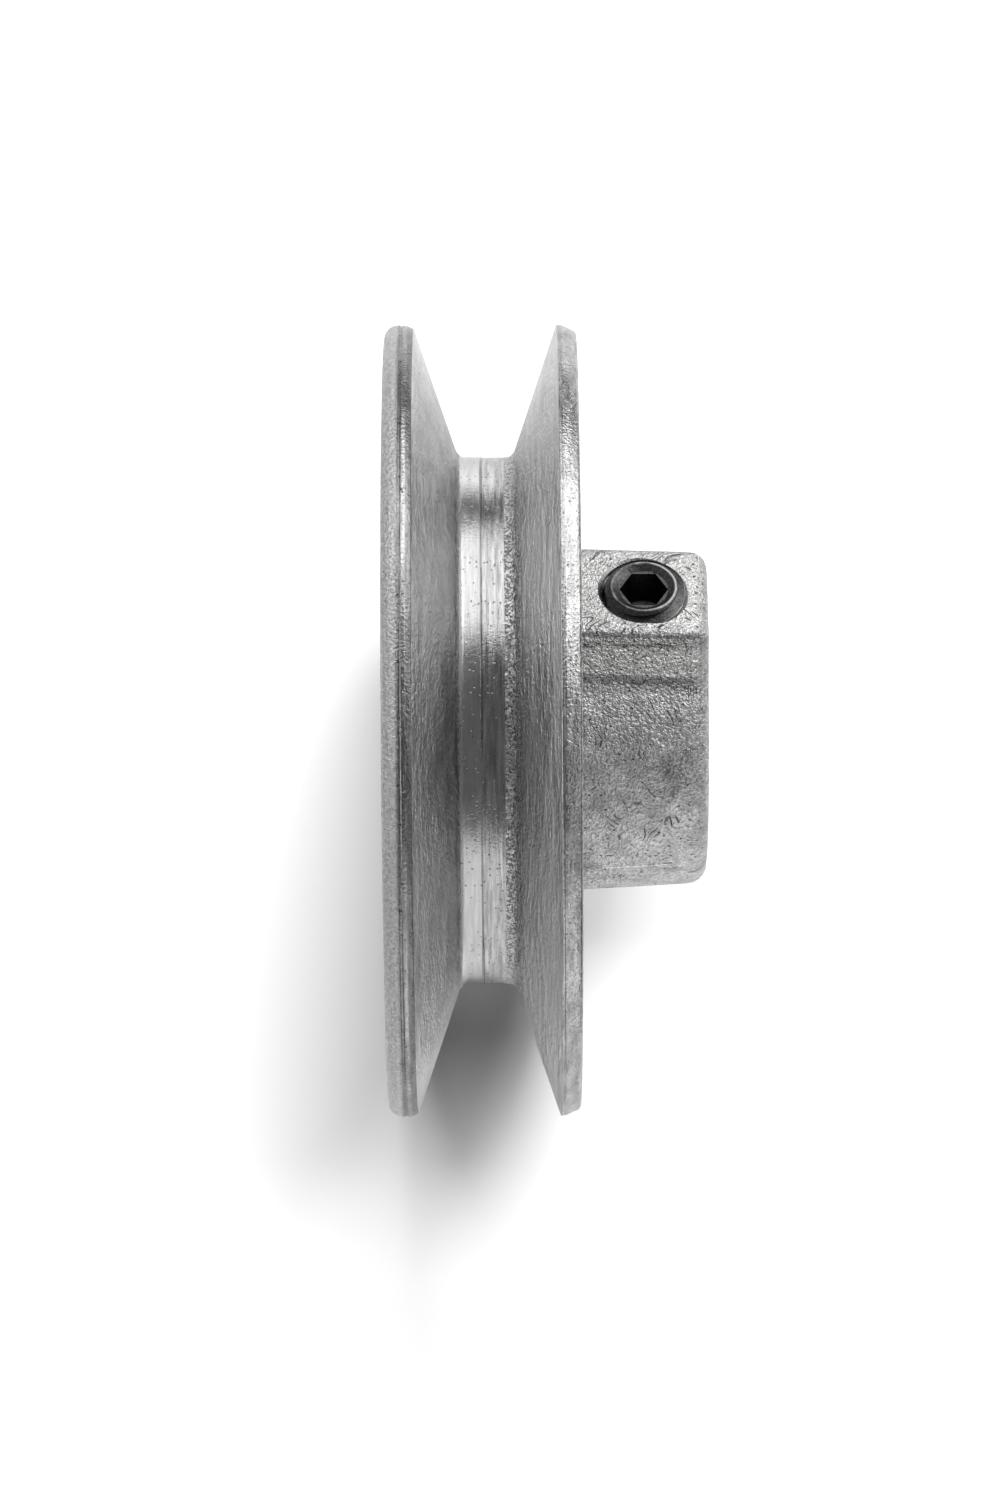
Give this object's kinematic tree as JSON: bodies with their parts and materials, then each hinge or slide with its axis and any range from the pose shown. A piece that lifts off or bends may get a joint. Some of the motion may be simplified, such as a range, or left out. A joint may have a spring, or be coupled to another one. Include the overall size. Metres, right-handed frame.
{
  "type": "v-groove pulley",
  "caption": "Die-cast belt pulley with a v-groove rim, a one-sided hub, a plain shaft bore and a socket set screw in a boss.",
  "frame": {"origin": "middle of the bore in the plane of the back face, which the pulley lies on", "axes": "+Z along the bore towards the hub's nose, +X along the set screw, out of its boss"},
  "size_m": [0.0762, 0.0762, 0.0306],
  "materials": {
    "cast_body": "plain die-cast skin, fine grain, with machined-looking draw lines in the groove",
    "set_screw": "black oxide with a thin oil film"
  },
  "bodies": {
    "pulley": {"pulley_body": "cast_body"},
    "screw": {"set_screw": "set_screw"}
  },
  "joints": [
    {"name": "set_screw_travel", "type": "slide", "parent": "pulley", "child": "screw", "axis": [1, 0, 0], "range_m": [-0.0033, 0.0085]}
  ]
}
